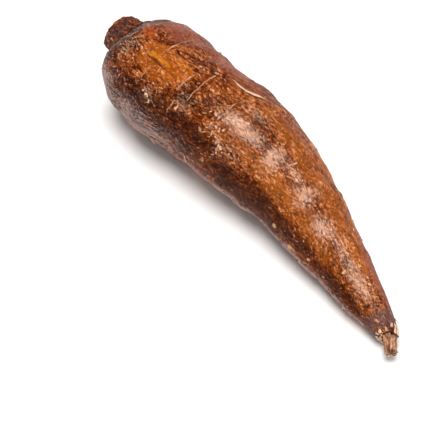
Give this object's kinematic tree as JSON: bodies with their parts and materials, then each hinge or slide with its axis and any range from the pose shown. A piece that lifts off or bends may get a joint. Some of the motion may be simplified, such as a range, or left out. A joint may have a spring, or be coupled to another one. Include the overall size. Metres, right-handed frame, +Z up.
{
  "type": "cassava root",
  "caption": "Whole unpeeled cassava root: a long tapering tuber with rough brown bark, a cut woody neck and a snapped tail.",
  "frame": {"origin": "middle of the root's box in plan, at the height of the surface that it lies on", "axes": "+X runs along the root from the cut neck to the tail, +Z is up, and the root lies on its side"},
  "size_m": [0.2836, 0.0782, 0.0647],
  "materials": {
    "bark": "rough brown corky bark under a thin coat of wax, satin to glossy in patches"
  },
  "bodies": {
    "root": {"cassava_root": "bark"}
  },
  "joints": []
}
